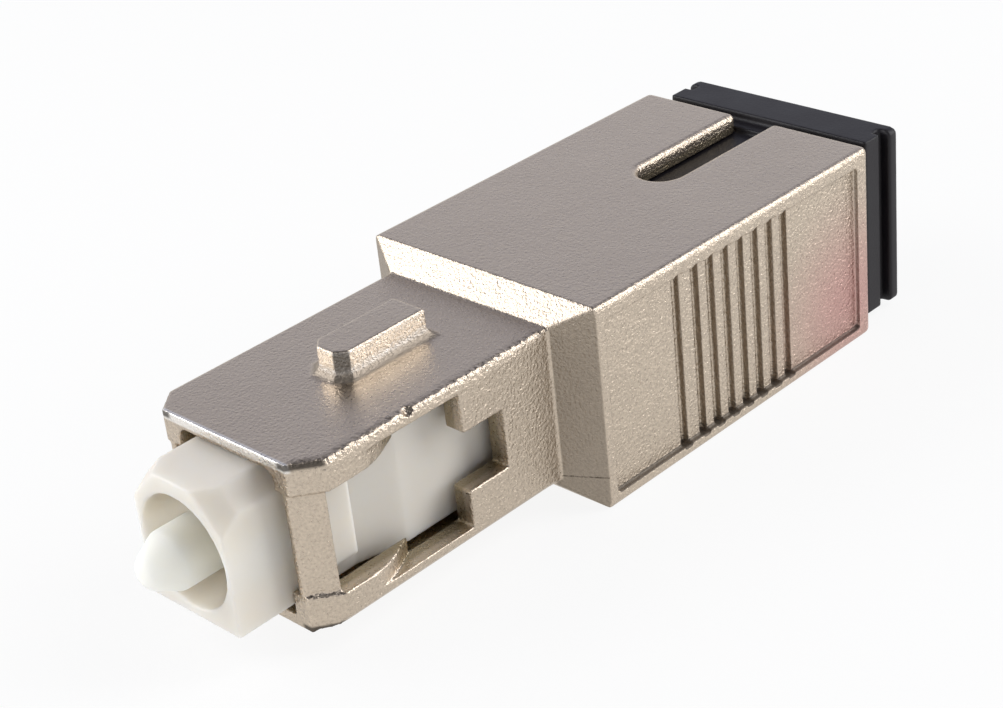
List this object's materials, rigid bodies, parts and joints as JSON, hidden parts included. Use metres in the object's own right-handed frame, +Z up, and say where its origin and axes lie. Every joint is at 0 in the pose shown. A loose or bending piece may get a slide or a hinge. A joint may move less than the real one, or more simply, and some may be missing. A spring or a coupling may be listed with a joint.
{
  "type": "fibre attenuator",
  "caption": "Push-pull fibre attenuator: die-cast housing with side windows, spring-loaded ferrule at the plug end and a capped receptacle with latch hooks at the other.",
  "frame": {"origin": "middle of the overall box at the underside of the housing body", "axes": "+X along the optical axis from the plug end to the receptacle end, +Z up on the side of the key, +Y to the left when looking along +X"},
  "size_m": [0.0398, 0.0126, 0.0095],
  "materials": {
    "nickel_plate": "bead-blasted nickel plate on a zinc casting",
    "white_plastic": "moulded, satin",
    "zirconia": "ground and polished",
    "plated_brass": "nickel-plated, turned",
    "glass_fibre": "clear",
    "spring_steel": "drawn wire",
    "seat_plastic": "moulded",
    "black_plastic": "moulded, fine satin"
  },
  "bodies": {
    "housing": {"housing": "nickel_plate"},
    "core": {"plug_frame": "white_plastic", "sleeve_holder": "white_plastic", "split_sleeve": "zirconia", "spring_seat": "seat_plastic", "ferrule_spring": "spring_steel"},
    "ferrule_unit": {"front_ferrule": "zirconia", "rear_ferrule": "zirconia", "ferrule_barrel": "plated_brass", "attenuating_fibre": "glass_fibre"},
    "dust_cap": {"dust_cap": "black_plastic"}
  },
  "joints": [
    {"name": "core_slide", "type": "slide", "parent": "housing", "child": "core", "axis": [-1, 0, 0], "range_m": [0, 0.0018]},
    {"name": "ferrule_float", "type": "slide", "parent": "core", "child": "ferrule_unit", "axis": [1, 0, 0], "range_m": [0, 0.0008], "stiffness_N_per_m": 1000, "deforming": ["ferrule_spring"]},
    {"name": "dust_cap_pull", "type": "slide", "parent": "housing", "child": "dust_cap", "axis": [1, 0, 0], "range_m": [0, 0.02]}
  ]
}
